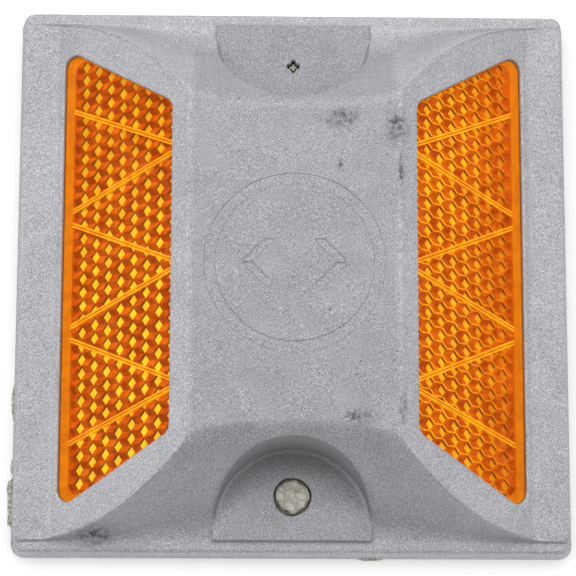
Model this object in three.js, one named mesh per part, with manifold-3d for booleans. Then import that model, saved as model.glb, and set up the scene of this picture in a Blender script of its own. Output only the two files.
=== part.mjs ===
// Raised pavement marker: a low cast-aluminium road stud, 100 mm square and 20 mm high. Two amber
// prismatic reflectors sit in sloping windows at +X and -X, and the hollow casting is potted from below
// with a resin and sand filler that is bonded to the road. Millimetres, +Z up, origin at the middle of
// the base.
import * as THREE from "three";
import { mergeVertices } from "three/addons/utils/BufferGeometryUtils.js";
import Module from "manifold-3d";

// ---- driving dimensions ---------------------------------------------------------------------------
const BASE_LENGTH = 100; // along X, from reflector edge to reflector edge
const BASE_WIDTH = 100; // along Y
const HEIGHT = 20;
const CORNER_RADIUS = 2.5; // of the base outline
const WALL_DRAFT = 0.7; // how far each outer wall leans in from the base to its top edge
const BORDER_HEIGHT = 4.75; // flat strip outside each reflector face
const BORDER_WIDTH = 7; // of that strip, out to the base's edge
const TOE_HEIGHT = 4.2; // foot of the scooped north and south faces

const FACE_ANGLE = THREE.MathUtils.degToRad(32); // of a reflector face to the road

// hip: the curved edge of each reflector face, a quarter of a superellipse in plan
const HIP_START = 27.5; // its distance from the X axis at the plateau
const HIP_EDGE_LAND = 1.1; // left between the hip's end and the base's edge
const HIP_POWER = 1.7;

// scooped north and south faces, which fall from the brow: the hip, or the plateau's curved edge
const SCOOP_START = 25.5; // distance from the X axis of the brow at the middle of the plateau
const SCOOP_EDGE_LAND = 0.5; // left between the foot of the scoop and the base's edge
const SCOOP_POWER = 0.9; // below 1 it is steepest near the brow and hollow towards the toe
const BROW_POWER = 1.5; // of the plateau's curved edge

// half-round pockets in the scooped faces, with the filling holes
const POCKET_INSET = 5; // of the arc's centre from the base's edge
const POCKET_RADIUS = 13.9; // at the floor
const POCKET_RIM_RADIUS = 15; // at the height of the plateau
const POCKET_FLOOR = 5.2;
const POCKET_FRONT_INSET = 2.8; // from the base's edge to where the floor steps down to the toe
const HOLE_INSET = 10.6; // of each hole's middle from the base's edge
const POUR_HOLE_RADIUS = 3.3; // in the south pocket
const VENT_HOLE_RADIUS = 1.05; // corner radius of the diamond-shaped vent in the north pocket

// shallow ring and arrow heads sunk into the plateau
const RING_OUTER = 15.9;
const RING_INNER = 13.85;
const RELIEF_DEPTH = 0.2;
const ARROW_TIP = 9.5;
const ARROW_HALF = 4.2;
const ARROW_STROKE = 2.2;

// casting walls
const WALL = 3; // over the cavity
const FACE_WALL = 5.2; // under the reflector faces, measured upright, deep enough for the lens seat
const POCKET_WALL = 2.4; // under a pocket's floor and beside its wall
const RIM_X = 10; // width of the base rim beside the reflectors
const RIM_Y = 6; // width of the base rim at the scooped sides

// reflector lens, in its own tilted frame: local X runs down the slope and Y stays level
const LENS_TOP_GAP = 3.77; // from the plateau's edge to the lens, down the slope
const LENS_BOTTOM_GAP = 1.54; // from the lens to the foot of the reflector face
const LENS_INNER_MARGIN = 5.7; // from the lens to the hip at the plateau end
const LENS_OUTER_MARGIN = 5.5; // and at the border end
const LENS_CORNER_INNER = 2.2;
const LENS_CORNER_OUTER = 2.2;
const LENS_RECESS = 0.5; // of the lens below the reflector face
const FLANGE_THICKNESS = 1.4;
const PRISM_THICKNESS = 1.2; // of the prism field behind the flange
const WELD_RIB_HEIGHT = 0.5;
const WELD_RIB_WIDTH = 0.7;
const WELD_PAIRS = 3; // V-shaped pairs of weld ribs, which divide the lens into seven cells
const WELD_PITCH = 21; // between the pairs
const WELD_SPREAD = 9.3; // how far each rib of a pair spreads from its point
const WELD_POINT_GAP = 0.8; // how far each rib starts from the middle of its pair
const FLANGE_WIDTH = 1.2; // of the lens that rests on the seat, at three sides
const FLANGE_WIDTH_OUTER = 2.4; // and at the border side
const BACKING_THICKNESS = 0.8;
const ADHESIVE_THICKNESS = 0.45;

// clearances
const FIT = 0.3; // between pieces that are bonded or welded in reality
const PLUG_BELOW_FLOOR = 0.3; // how far the filler in a hole stays below the pocket's floor

const SOUTH = -1;
const NORTH = 1;
const EAST = 1;
const WEST = -1;

// ---- worked-out sizes -----------------------------------------------------------------------------
const halfLength = BASE_LENGTH / 2;
const halfWidth = BASE_WIDTH / 2;
const faceSlope = Math.tan(FACE_ANGLE);
const faceEnd = halfLength - BORDER_WIDTH;
const plateauHalf = faceEnd - (HEIGHT - BORDER_HEIGHT) / faceSlope;
const hipEnd = halfWidth - HIP_EDGE_LAND;
const scoopEnd = halfWidth - SCOOP_EDGE_LAND;
const pocketCentre = halfWidth - POCKET_INSET;
const pocketFront = halfWidth - POCKET_FRONT_INSET;
const holePlace = halfWidth - HOLE_INSET;
const lensStart = plateauHalf + LENS_TOP_GAP * Math.cos(FACE_ANGLE);
const lensEnd = faceEnd - LENS_BOTTOM_GAP * Math.cos(FACE_ANGLE);
const lensSlopeLength = (lensEnd - lensStart) / Math.cos(FACE_ANGLE);
const lensInnerHalf = hipDistance(lensStart) - LENS_INNER_MARGIN;
const lensOuterHalf = hipDistance(lensEnd) - LENS_OUTER_MARGIN;
const seatDepth = LENS_RECESS + FLANGE_THICKNESS + FIT + ADHESIVE_THICKNESS + FIT;
const backingTop = -(FLANGE_THICKNESS + PRISM_THICKNESS + WELD_RIB_HEIGHT + FIT);
const backingBottom = backingTop - BACKING_THICKNESS;
const backingUnderFace = (LENS_RECESS - backingBottom) / Math.cos(FACE_ANGLE);
const fillerUnderFace = Math.max(backingUnderFace, FACE_WALL) + FIT;
const BELOW = 1; // how far cutters and blanks reach past the base before they are trimmed
const OUTSIDE_GRID = { columns: [4, 10, 2], rows: [1, 14] };
const INSIDE_GRID = { columns: [2, 4, 1], rows: [1, 6] };

// ---- solids ---------------------------------------------------------------------------------------
const manifold = await Module();
manifold.setup();

/** A manifold solid of a closed three.js geometry. */
function solid(geometry) {
  const bare = geometry.clone();
  bare.deleteAttribute("normal");
  bare.deleteAttribute("uv");
  const merged = mergeVertices(bare, 1e-4);
  return new manifold.Manifold(
    new manifold.Mesh({
      numProp: 3,
      vertProperties: merged.attributes.position.array,
      triVerts: new Uint32Array(merged.index.array),
    }),
  );
}

/** A three.js geometry of a manifold solid. */
function geometryOf(body) {
  const mesh = body.getMesh();
  const geometry = new THREE.BufferGeometry();
  geometry.setAttribute("position", new THREE.BufferAttribute(new Float32Array(mesh.vertProperties), 3));
  geometry.setIndex(new THREE.BufferAttribute(new Uint32Array(mesh.triVerts), 1));
  geometry.computeVertexNormals();
  return geometry;
}

/** An upright prism of a plan outline, from height low to height high. */
function prism(shape, low, high) {
  const geometry = new THREE.ExtrudeGeometry(shape, {
    depth: high - low,
    bevelEnabled: false,
    curveSegments: 3,
  });
  return geometry.translate(0, 0, low);
}

/** An upright round bar, or a frustum where its two radii differ, around (x, y). */
function bar(radiusLow, radiusHigh, low, high, x, y, sides = 48) {
  const geometry = new THREE.CylinderGeometry(radiusHigh, radiusLow, high - low, sides);
  return geometry.rotateX(Math.PI / 2).translate(x, y, (low + high) / 2);
}

/** A box between two opposite corners. */
function boxBetween(low, high) {
  const geometry = new THREE.BoxGeometry(high[0] - low[0], high[1] - low[1], high[2] - low[2]);
  return geometry.translate((low[0] + high[0]) / 2, (low[1] + high[1]) / 2, (low[2] + high[2]) / 2);
}

// ---- outlines -------------------------------------------------------------------------------------
/** A closed outline with arcs of the given radii at its corners, which run anticlockwise. */
function roundedOutline(corners, radii) {
  const shape = new THREE.Shape();
  corners.forEach((corner, i) => {
    const before = corners[(i + corners.length - 1) % corners.length];
    const after = corners[(i + 1) % corners.length];
    const back = before.clone().sub(corner).normalize();
    const ahead = after.clone().sub(corner).normalize();
    const half = Math.acos(THREE.MathUtils.clamp(back.dot(ahead), -1, 1)) / 2;
    const radius = Math.max(radii[i], 0.05);
    const toCentre = back.clone().add(ahead).normalize().multiplyScalar(radius / Math.sin(half));
    const centre = corner.clone().add(toCentre);
    const start = corner.clone().addScaledVector(back, radius / Math.tan(half)).sub(centre);
    const end = corner.clone().addScaledVector(ahead, radius / Math.tan(half)).sub(centre);
    shape.absarc(centre.x, centre.y, radius, start.angle(), end.angle(), false);
  });
  return shape;
}

/** The corners of an anticlockwise polygon moved in by one distance for each of its sides. */
function insetCorners(corners, insets) {
  const sides = corners.map((corner, i) => {
    const along = corners[(i + 1) % corners.length].clone().sub(corner).normalize();
    const inward = new THREE.Vector2(-along.y, along.x);
    return { point: corner.clone().addScaledVector(inward, insets[i]), along };
  });
  return sides.map((side, i) => {
    const last = sides[(i + sides.length - 1) % sides.length];
    const across = side.along.cross(last.along);
    const travel = last.point.clone().sub(side.point).cross(last.along) / across;
    return side.point.clone().addScaledVector(side.along, travel);
  });
}

/** The lens outline in its tilted frame, moved in by inset, and by outerInset at the border side. */
function lensOutline(inset, outerInset = inset) {
  const half = lensSlopeLength / 2;
  const corners = [
    new THREE.Vector2(-half, -lensInnerHalf),
    new THREE.Vector2(half, -lensOuterHalf),
    new THREE.Vector2(half, lensOuterHalf),
    new THREE.Vector2(-half, lensInnerHalf),
  ];
  const radii = [LENS_CORNER_INNER, LENS_CORNER_OUTER, LENS_CORNER_OUTER, LENS_CORNER_INNER];
  const moved = insetCorners(corners, [inset, outerInset, inset, inset]);
  return roundedOutline(moved, radii.map((radius) => radius - inset));
}

/** The base outline as a rounded rectangle. */
function baseOutline() {
  const corners = [
    new THREE.Vector2(-halfLength, -halfWidth),
    new THREE.Vector2(halfLength, -halfWidth),
    new THREE.Vector2(halfLength, halfWidth),
    new THREE.Vector2(-halfLength, halfWidth),
  ];
  return roundedOutline(corners, corners.map(() => CORNER_RADIUS));
}

// ---- the casting's upper surface ------------------------------------------------------------------
/** Height of the plateau and of the reflector face's plane, which levels out at the border. */
function faceHeight(x) {
  return Math.max(BORDER_HEIGHT, HEIGHT - Math.max(0, Math.abs(x) - plateauHalf) * faceSlope);
}

/** Distance of the hip from the X axis. */
function hipDistance(x) {
  const along = THREE.MathUtils.clamp((Math.abs(x) - plateauHalf) / (halfLength - plateauHalf), 0, 1);
  const rise = (1 - (1 - along) ** HIP_POWER) ** (1 / HIP_POWER);
  return HIP_START + (hipEnd - HIP_START) * rise;
}

/** Distance from the X axis at which the surface starts to fall towards the toe. */
function browDistance(x) {
  const along = Math.min(Math.abs(x) / plateauHalf, 1);
  return hipDistance(x) - (HIP_START - SCOOP_START) * (1 - along ** BROW_POWER);
}

/** Height of the whole upper surface: the face up to the brow, then a hollow S-curve to the toe. */
function surfaceHeight(x, y) {
  const brow = browDistance(x);
  const along = THREE.MathUtils.clamp((Math.abs(y) - brow) / (scoopEnd - brow), 0, 1);
  const fall = THREE.MathUtils.smoothstep(along ** SCOOP_POWER, 0, 1);
  return THREE.MathUtils.lerp(faceHeight(x), TOE_HEIGHT, fall);
}

/** Evenly divided stations between marks, with one count of divisions for each gap. */
function stations(marks, counts) {
  const found = [marks[0]];
  counts.forEach((count, i) => {
    for (let k = 1; k <= count; k += 1) {
      found.push(THREE.MathUtils.lerp(marks[i], marks[i + 1], k / count));
    }
  });
  return found;
}

/**
 * A block under a height function. Its columns stand at fixed x, and its rows follow the brow, so that
 * the edges of the relief run along its grid. Its walls lean out by draft from the border's height
 * down to the base, z = 0, and on at the same slope to its own bottom, which lies below the base.
 */
function reliefBlock(reachX, reachY, height, draft, grid) {
  const faceStart = Math.min(plateauHalf, reachX / 2);
  const border = Math.min(faceEnd, reachX - 2 * draft - FIT);
  const halfColumns = stations([0, faceStart, border, reachX], grid.columns);
  const columns = [...halfColumns.slice(1).reverse().map((x) => -x), ...halfColumns];
  const rowsAt = (x) => {
    const half = stations([0, Math.min(browDistance(x), reachY - FIT), reachY], grid.rows);
    return [...half.slice(1).reverse().map((y) => -y), ...half];
  };
  const rowCount = rowsAt(0).length - 1;
  const lean = draft * (1 + BELOW / BORDER_HEIGHT);
  const geometry = new THREE.BoxGeometry(1, 1, 1, columns.length - 1, rowCount, 1);
  const place = geometry.attributes.position;
  for (let i = 0; i < place.count; i += 1) {
    const x = columns[Math.round((place.getX(i) + 0.5) * (columns.length - 1))];
    const y = rowsAt(x)[Math.round((place.getY(i) + 0.5) * rowCount)];
    if (place.getZ(i) > 0) {
      place.setXYZ(i, x, y, height(x, y));
    } else {
      place.setXYZ(i, x * (1 + lean / reachX), y * (1 + lean / reachY), -BELOW);
    }
  }
  return geometry;
}

// ---- tilted frame of a reflector ------------------------------------------------------------------
/** A group whose local XY plane is the lens front, with local X down the slope, at one side. */
function reflectorFrame(side) {
  const tilt = new THREE.Group();
  const middle = LENS_TOP_GAP + lensSlopeLength / 2;
  tilt.position.set(
    plateauHalf + middle * Math.cos(FACE_ANGLE) - LENS_RECESS * Math.sin(FACE_ANGLE),
    0,
    HEIGHT - middle * Math.sin(FACE_ANGLE) - LENS_RECESS * Math.cos(FACE_ANGLE),
  );
  tilt.rotation.y = FACE_ANGLE;
  const frame = new THREE.Group();
  frame.rotation.z = side === EAST ? 0 : Math.PI;
  frame.add(tilt);
  frame.updateMatrixWorld(true);
  return { frame, tilt };
}

/** A solid of a geometry that is drawn in a reflector's tilted frame, placed in the part's frame. */
function solidOnFace(geometry, side) {
  return solid(geometry.clone().applyMatrix4(reflectorFrame(side).tilt.matrixWorld));
}

// ---- pieces ---------------------------------------------------------------------------------------
/** The half-round pocket's cutter, from its floor up. */
function pocketCut(side) {
  return solid(
    bar(POCKET_RADIUS, POCKET_RIM_RADIUS, POCKET_FLOOR, HEIGHT + 1, 0, side * pocketCentre, 64),
  );
}

/** The pocket's floor, a pad that ends in a low step at the toe. */
function pocketPad(side) {
  const radius = POCKET_RADIUS + FIT;
  const pad = solid(bar(radius, radius, BELOW, POCKET_FLOOR, 0, side * pocketCentre, 64));
  const beyond = side * pocketFront;
  const inner = side * (pocketCentre - 2 * POCKET_RADIUS);
  const keep = solid(
    boxBetween(
      [-halfLength, Math.min(beyond, inner), 0],
      [halfLength, Math.max(beyond, inner), HEIGHT],
    ),
  );
  return pad.intersect(keep);
}

/** The room under the casting, open at the base. */
function cavitySolid() {
  const height = (x, y) =>
    Math.min(
      HEIGHT - WALL,
      faceHeight(x) - FACE_WALL,
      surfaceHeight(x, y) - WALL,
    );
  const room = solid(reliefBlock(halfLength - RIM_X, halfWidth - RIM_Y, height, 0, INSIDE_GRID));
  return [NORTH, SOUTH].reduce((left, side) => left.subtract(pocketBody(side, 0)), room);
}

/** What a pocket and the wall around it take from the cavity, or from the filler with its gap. */
function pocketBody(side, gap) {
  const around = POCKET_RIM_RADIUS + POCKET_WALL + gap;
  const low = POCKET_FLOOR - POCKET_WALL - gap;
  return solid(bar(around, around, low, HEIGHT + 1, 0, side * pocketCentre, 64));
}

/** Cutters for a shallow ring with two arrow heads in it that point at the reflectors. */
function plateauCuts() {
  const low = HEIGHT - RELIEF_DEPTH;
  const high = HEIGHT + RELIEF_DEPTH;
  const ring = new THREE.Shape().absarc(0, 0, RING_OUTER, 0, 2 * Math.PI, false);
  ring.holes.push(new THREE.Path().absarc(0, 0, RING_INNER, 0, 2 * Math.PI, true));
  const band = new THREE.ExtrudeGeometry(ring, {
    depth: high - low,
    bevelEnabled: false,
    curveSegments: 24,
  });
  const arrows = [EAST, WEST].map((side) => {
    const tip = side * ARROW_TIP;
    const tail = side * (ARROW_TIP - ARROW_HALF);
    const back = side * ARROW_STROKE;
    const points = [
      new THREE.Vector2(tip, 0),
      new THREE.Vector2(tail, ARROW_HALF),
      new THREE.Vector2(tail - back, ARROW_HALF),
      new THREE.Vector2(tip - back, 0),
      new THREE.Vector2(tail - back, -ARROW_HALF),
      new THREE.Vector2(tail, -ARROW_HALF),
    ];
    return solid(prism(new THREE.Shape(points), low, high));
  });
  return [solid(band.translate(0, 0, low)), ...arrows];
}

/** The casting: outside, pockets, sunk ring, cavity, windows for the reflectors and filling holes. */
function housingShell() {
  const [topX, topY] = [halfLength - WALL_DRAFT, halfWidth - WALL_DRAFT];
  let body = solid(reliefBlock(topX, topY, surfaceHeight, WALL_DRAFT, OUTSIDE_GRID));
  body = body.intersect(solid(prism(baseOutline(), 0, 2 * HEIGHT)));
  for (const side of [NORTH, SOUTH]) {
    body = body.add(pocketPad(side));
    body = body.subtract(pocketCut(side));
  }
  for (const cut of plateauCuts()) {
    body = body.subtract(cut);
  }
  body = body.subtract(cavitySolid());
  for (const side of [EAST, WEST]) {
    const seat = LENS_RECESS - seatDepth;
    body = body.subtract(solidOnFace(prism(lensOutline(-FIT), seat, HEIGHT), side));
    const opening = lensOutline(FLANGE_WIDTH - FIT, FLANGE_WIDTH_OUTER - FIT);
    body = body.subtract(solidOnFace(prism(opening, backingBottom - FIT, HEIGHT), side));
  }
  const pour = bar(POUR_HOLE_RADIUS, POUR_HOLE_RADIUS, -BELOW, HEIGHT, 0, SOUTH * holePlace, 32);
  const vent = bar(VENT_HOLE_RADIUS, VENT_HOLE_RADIUS, -BELOW, HEIGHT, 0, NORTH * holePlace, 4);
  return body.subtract(solid(pour)).subtract(solid(vent));
}

/** The potting, which fills the cavity and rises into the pour hole and the vent. */
function fillerBlock() {
  const height = (x, y) =>
    Math.min(
      HEIGHT - WALL - FIT,
      faceHeight(x) - fillerUnderFace,
      surfaceHeight(x, y) - WALL - FIT,
    );
  const [reachX, reachY] = [halfLength - RIM_X - FIT, halfWidth - RIM_Y - FIT];
  let body = solid(reliefBlock(reachX, reachY, height, 0, INSIDE_GRID));
  body = body.intersect(solid(prism(baseOutline(), 0, 2 * HEIGHT)));
  body = [NORTH, SOUTH].reduce((left, side) => left.subtract(pocketBody(side, FIT)), body);
  const plugTop = POCKET_FLOOR - PLUG_BELOW_FLOOR;
  const pourRadius = POUR_HOLE_RADIUS - FIT;
  const ventRadius = VENT_HOLE_RADIUS - FIT;
  const pour = bar(pourRadius, pourRadius, BELOW, plugTop, 0, SOUTH * holePlace, 32);
  const vent = bar(ventRadius, ventRadius, BELOW, plugTop, 0, NORTH * holePlace, 4);
  return body.add(solid(pour)).add(solid(vent));
}

/** Weld ribs on the back of the lens: a rim and zigzags between its long sides. */
function weldRibs() {
  const low = -(FLANGE_THICKNESS + PRISM_THICKNESS + WELD_RIB_HEIGHT);
  const high = -(FLANGE_THICKNESS + PRISM_THICKNESS / 2);
  const outline = lensOutline(FLANGE_WIDTH, FLANGE_WIDTH_OUTER);
  outline.holes.push(lensOutline(FLANGE_WIDTH + WELD_RIB_WIDTH, FLANGE_WIDTH_OUTER + WELD_RIB_WIDTH));
  const within = solid(prism(lensOutline(FLANGE_WIDTH, FLANGE_WIDTH_OUTER), low, high));
  const run = lensSlopeLength - FLANGE_WIDTH - FLANGE_WIDTH_OUTER;
  const middle = (FLANGE_WIDTH - FLANGE_WIDTH_OUTER) / 2;
  let ribs = solid(prism(outline, low, high));
  for (let i = 0; i < WELD_PAIRS; i += 1) {
    const pair = (i - (WELD_PAIRS - 1) / 2) * WELD_PITCH;
    for (const way of [SOUTH, NORTH]) {
      const rise = WELD_SPREAD - WELD_POINT_GAP;
      const rib = new THREE.BoxGeometry(Math.hypot(run, rise), WELD_RIB_WIDTH, high - low);
      rib.rotateZ(way * Math.atan2(rise, run));
      rib.translate(middle, pair + way * (WELD_POINT_GAP + rise / 2), (low + high) / 2);
      ribs = ribs.add(solid(rib).intersect(within));
    }
  }
  return ribs;
}

/** A reflector lens: smooth front flange, prism field and weld ribs. */
function lensBody() {
  const flange = solid(prism(lensOutline(0), -FLANGE_THICKNESS, 0));
  const field = lensOutline(FLANGE_WIDTH, FLANGE_WIDTH_OUTER);
  const prisms = solid(prism(field, -(FLANGE_THICKNESS + PRISM_THICKNESS), -FLANGE_THICKNESS / 2));
  return flange.add(prisms).add(weldRibs());
}

/** The plate welded to the lens's ribs, which shuts the air in behind the prisms. */
function backingPlate() {
  return solid(prism(lensOutline(FLANGE_WIDTH, FLANGE_WIDTH_OUTER), backingBottom, backingTop));
}

/** The bead of adhesive between the lens flange and its seat. */
function adhesiveBead() {
  const ring = lensOutline(0);
  ring.holes.push(lensOutline(FLANGE_WIDTH - FIT, FLANGE_WIDTH_OUTER - FIT));
  const high = -(FLANGE_THICKNESS + FIT);
  return solid(prism(ring, high - ADHESIVE_THICKNESS, high));
}

// ---- scene graph ----------------------------------------------------------------------------------
const cast = new THREE.MeshStandardMaterial({ color: 0xa6a6ab, roughness: 0.62, metalness: 0.85 });
const amber = new THREE.MeshStandardMaterial({ color: 0xf08a12, roughness: 0.15, metalness: 0 });
const plate = new THREE.MeshStandardMaterial({ color: 0xd8b060, roughness: 0.5, metalness: 0 });
const glue = new THREE.MeshStandardMaterial({ color: 0x8a8578, roughness: 0.7, metalness: 0 });
const potting = new THREE.MeshStandardMaterial({ color: 0xc9bfa6, roughness: 0.9, metalness: 0 });

/** A named mesh of a manifold solid. */
function piece(name, body, material) {
  const mesh = new THREE.Mesh(geometryOf(body), material);
  mesh.name = name;
  return mesh;
}

const marker = new THREE.Group();
marker.name = "raised_pavement_marker";
marker.add(piece("housing_shell", housingShell(), cast));
marker.add(piece("filler_block", fillerBlock(), potting));
for (const [word, side] of [["east", EAST], ["west", WEST]]) {
  const { frame, tilt } = reflectorFrame(side);
  tilt.add(piece("lens_" + word, lensBody(), amber));
  tilt.add(piece("lens_backing_" + word, backingPlate(), plate));
  tilt.add(piece("lens_adhesive_" + word, adhesiveBead(), glue));
  marker.add(frame);
}

export default marker;
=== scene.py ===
"""Looks of a raised pavement marker: a cast-aluminium road stud with two amber prismatic reflectors.

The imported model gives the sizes. The casting, the lenses and the filler are built again here with their
fine shape, and the inner plates and glue beads keep their own solids and get a finish.
"""

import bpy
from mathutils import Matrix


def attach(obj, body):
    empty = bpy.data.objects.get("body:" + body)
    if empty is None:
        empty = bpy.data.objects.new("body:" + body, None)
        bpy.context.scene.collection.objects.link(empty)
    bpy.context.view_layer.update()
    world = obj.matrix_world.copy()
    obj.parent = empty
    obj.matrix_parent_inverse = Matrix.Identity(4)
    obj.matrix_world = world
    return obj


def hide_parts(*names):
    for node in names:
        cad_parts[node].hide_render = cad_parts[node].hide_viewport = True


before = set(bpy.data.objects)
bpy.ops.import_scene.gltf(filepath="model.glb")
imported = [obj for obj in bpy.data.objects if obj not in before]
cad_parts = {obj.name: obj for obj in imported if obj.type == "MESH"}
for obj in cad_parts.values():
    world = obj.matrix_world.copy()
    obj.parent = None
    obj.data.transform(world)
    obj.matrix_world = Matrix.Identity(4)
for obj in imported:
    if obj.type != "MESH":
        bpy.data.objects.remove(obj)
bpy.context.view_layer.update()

import logging
import math
from dataclasses import dataclass, field
from enum import Enum

import bpy
import numpy as np
from mathutils import Matrix, Vector

MM = 0.001
LOG = logging.getLogger("road_stud")


class Side(Enum):
    """The end of the stud that a reflector faces, as the sign of its X."""

    EAST = 1
    WEST = -1

    @property
    def word(self) -> str:
        """The word that names this side's pieces."""
        return self.name.lower()


# ---- small helpers on arrays ----------------------------------------------------------------------
def smoothstep(value: np.ndarray, low: float, high: float) -> np.ndarray:
    """A ramp from 0 at low to 1 at high with level ends: 3t^2 - 2t^3.

    Args:
        value: where to read the ramp.
        low: the value at which it starts.
        high: the value at which it ends.

    Returns:
        The ramp's height at each value.
    """
    t = np.clip((value - low) / (high - low), 0.0, 1.0)
    return t * t * (3.0 - 2.0 * t)


def stations(marks: list[float], spacing: list[float]) -> np.ndarray:
    """Positions between marks, each gap divided evenly at about its own spacing.

    Args:
        marks: rising positions that are all kept.
        spacing: the wanted distance between stations in each gap.

    Returns:
        All the positions, once each.
    """
    parts = [
        np.linspace(a, b, max(1, round((b - a) / step)), endpoint=False)
        for a, b, step in zip(marks, marks[1:], spacing)
    ]
    return np.concatenate([*parts, [marks[-1]]])


def mirrored(half: np.ndarray) -> np.ndarray:
    """Rising stations from 0 and their mirror image below 0."""
    return np.concatenate([-half[:0:-1], half])


def waves(x: np.ndarray, y: np.ndarray, length: float, seed: int, count: int = 7) -> np.ndarray:
    """A smooth unevenness between about -1 and 1: a sum of sine waves in random directions.

    Args:
        x: places across.
        y: places along.
        length: of the longest wave; the others are up to three times shorter.
        seed: of the random directions and phases.
        count: how many waves.

    Returns:
        The unevenness at each place.
    """
    rng = np.random.default_rng(seed)
    turn, phase = rng.uniform(0, math.tau, (2, count))
    rate = math.tau / length * rng.uniform(1.0, 3.0, count)
    total = np.zeros(np.broadcast(x, y).shape)
    for angle, shift, pace in zip(turn, phase, rate):
        total += np.sin(pace * (np.cos(angle) * x + np.sin(angle) * y) + shift)
    return total / math.sqrt(count)


# ---- outlines in plan -----------------------------------------------------------------------------
@dataclass(frozen=True)
class Outline:
    """A convex polygon with one rounding for all of its corners, which run anticlockwise."""

    corners: np.ndarray
    radius: float

    def inset(self, distances: list[float]) -> "Outline":
        """The outline moved in, with one distance for each side, and its corners kept as round.

        Args:
            distances: how far each side moves in, from the side that leaves the first corner.

        Returns:
            The smaller outline, or a larger one for negative distances.
        """
        along = np.roll(self.corners, -1, axis=0) - self.corners
        along /= np.linalg.norm(along, axis=1, keepdims=True)
        inward = np.stack([-along[:, 1], along[:, 0]], axis=1)
        point = self.corners + inward * np.array(distances)[:, None]
        last_along, last_point = np.roll(along, 1, axis=0), np.roll(point, 1, axis=0)
        gap = last_point - point
        across = along[:, 0] * last_along[:, 1] - along[:, 1] * last_along[:, 0]
        travel = (gap[:, 0] * last_along[:, 1] - gap[:, 1] * last_along[:, 0]) / across
        return Outline(point + along * travel[:, None], max(0.1, self.radius - min(distances)))

    def points(self, steps: int = 8) -> np.ndarray:
        """The outline as points: an arc at each corner that touches both of its sides.

        Args:
            steps: how many chords each arc has.

        Returns:
            An array of points, anticlockwise.
        """
        back = np.roll(self.corners, 1, axis=0) - self.corners
        ahead = np.roll(self.corners, -1, axis=0) - self.corners
        back /= np.linalg.norm(back, axis=1, keepdims=True)
        ahead /= np.linalg.norm(ahead, axis=1, keepdims=True)
        half = np.arccos(np.clip((back * ahead).sum(1), -1, 1)) / 2
        middle = back + ahead
        middle /= np.linalg.norm(middle, axis=1, keepdims=True)
        centre = self.corners + middle * (self.radius / np.sin(half))[:, None]
        facing = np.arctan2(-middle[:, 1], -middle[:, 0])
        sweep = np.linspace(-1, 1, steps + 1)[None, :] * (math.pi / 2 - half)[:, None]
        angle = facing[:, None] + sweep
        ring = centre[:, None, :] + self.radius * np.stack([np.cos(angle), np.sin(angle)], axis=2)
        return ring.reshape(-1, 2)


def rectangle(half_x: float, half_y: float, radius: float) -> Outline:
    """A rounded rectangle around the origin."""
    corners = np.array([[-half_x, -half_y], [half_x, -half_y], [half_x, half_y], [-half_x, half_y]])
    return Outline(corners, radius)


# ---- meshes ---------------------------------------------------------------------------------------
@dataclass
class Solid:
    """A closed surface: vertices in millimetres, faces of any number of sides, and their finish slots."""

    verts: np.ndarray
    faces: list
    slots: np.ndarray | None = None

    def placed(self, matrix: np.ndarray) -> "Solid":
        """The solid turned and moved by a 4 by 4 matrix."""
        moved = self.verts @ matrix[:3, :3].T + matrix[:3, 3]
        turned = np.linalg.det(matrix[:3, :3]) < 0
        faces = [face[::-1] for face in self.faces] if turned else self.faces
        return Solid(moved, faces, self.slots)

    def object(self, name: str) -> bpy.types.Object:
        """A Blender object of the solid, in metres, at the origin."""
        mesh = bpy.data.meshes.new(name)
        mesh.from_pydata((self.verts * MM).tolist(), [], self.faces)
        if self.slots is not None:
            mesh.polygons.foreach_set("material_index", self.slots.astype(np.int32))
        mesh.update()
        made = bpy.data.objects.new(name, mesh)
        bpy.context.scene.collection.objects.link(made)
        return made


def grid_faces(rows: int, columns: int, first: int = 0) -> np.ndarray:
    """Quads of a grid of vertices that are numbered row by row, facing up for rising x and y."""
    at = first + np.arange(rows * columns).reshape(rows, columns)
    quads = np.stack([at[:-1, :-1], at[:-1, 1:], at[1:, 1:], at[1:, :-1]], axis=-1)
    return quads.reshape(-1, 4)


def slab(xs: np.ndarray, ys: np.ndarray, top: np.ndarray, bottom: np.ndarray) -> Solid:
    """The closed solid between two height fields on one grid.

    Args:
        xs: the grid's columns.
        ys: the grid's rows.
        top: upper heights, one row for each y.
        bottom: lower heights, laid out the same way.

    Returns:
        The solid: the upper grid, the lower grid turned over, and a strip of quads round the edge.
    """
    rows, columns = len(ys), len(xs)
    x, y = np.meshgrid(xs, ys)
    layers = [np.stack([x, y, z], axis=-1).reshape(-1, 3) for z in (top, bottom)]
    count = rows * columns
    at = np.arange(count).reshape(rows, columns)
    edge = np.concatenate([at[0, :-1], at[:-1, -1], at[-1, :0:-1], at[:0:-1, 0]])
    after = np.roll(edge, -1)
    strip = np.stack([edge + count, after + count, after, edge], axis=1)
    faces = np.concatenate([grid_faces(rows, columns), grid_faces(rows, columns, count)[:, ::-1], strip])
    return Solid(np.concatenate(layers), faces.tolist())


def loft(rings: list[np.ndarray]) -> Solid:
    """The closed solid through rings of points that run anticlockwise seen from above, bottom first."""
    size = len(rings[0])
    verts = np.concatenate(rings)
    at = np.arange(size)
    after = np.roll(at, -1)
    faces = [list(at[::-1]), list(at + size * (len(rings) - 1))]
    for level in range(len(rings) - 1):
        low = size * level
        strip = np.stack([at + low, after + low, after + low + size, at + low + size], axis=1)
        faces += strip.tolist()
    return Solid(verts, [[int(v) for v in face] for face in faces])


def circle(x: float, y: float, radius: float | np.ndarray, sides: int = 48) -> np.ndarray:
    """Points of a circle around (x, y), or of a wavy one where the radius has one value a point."""
    angle = np.arange(sides) * math.tau / sides
    return np.column_stack([x + radius * np.cos(angle), y + radius * np.sin(angle)])


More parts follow.
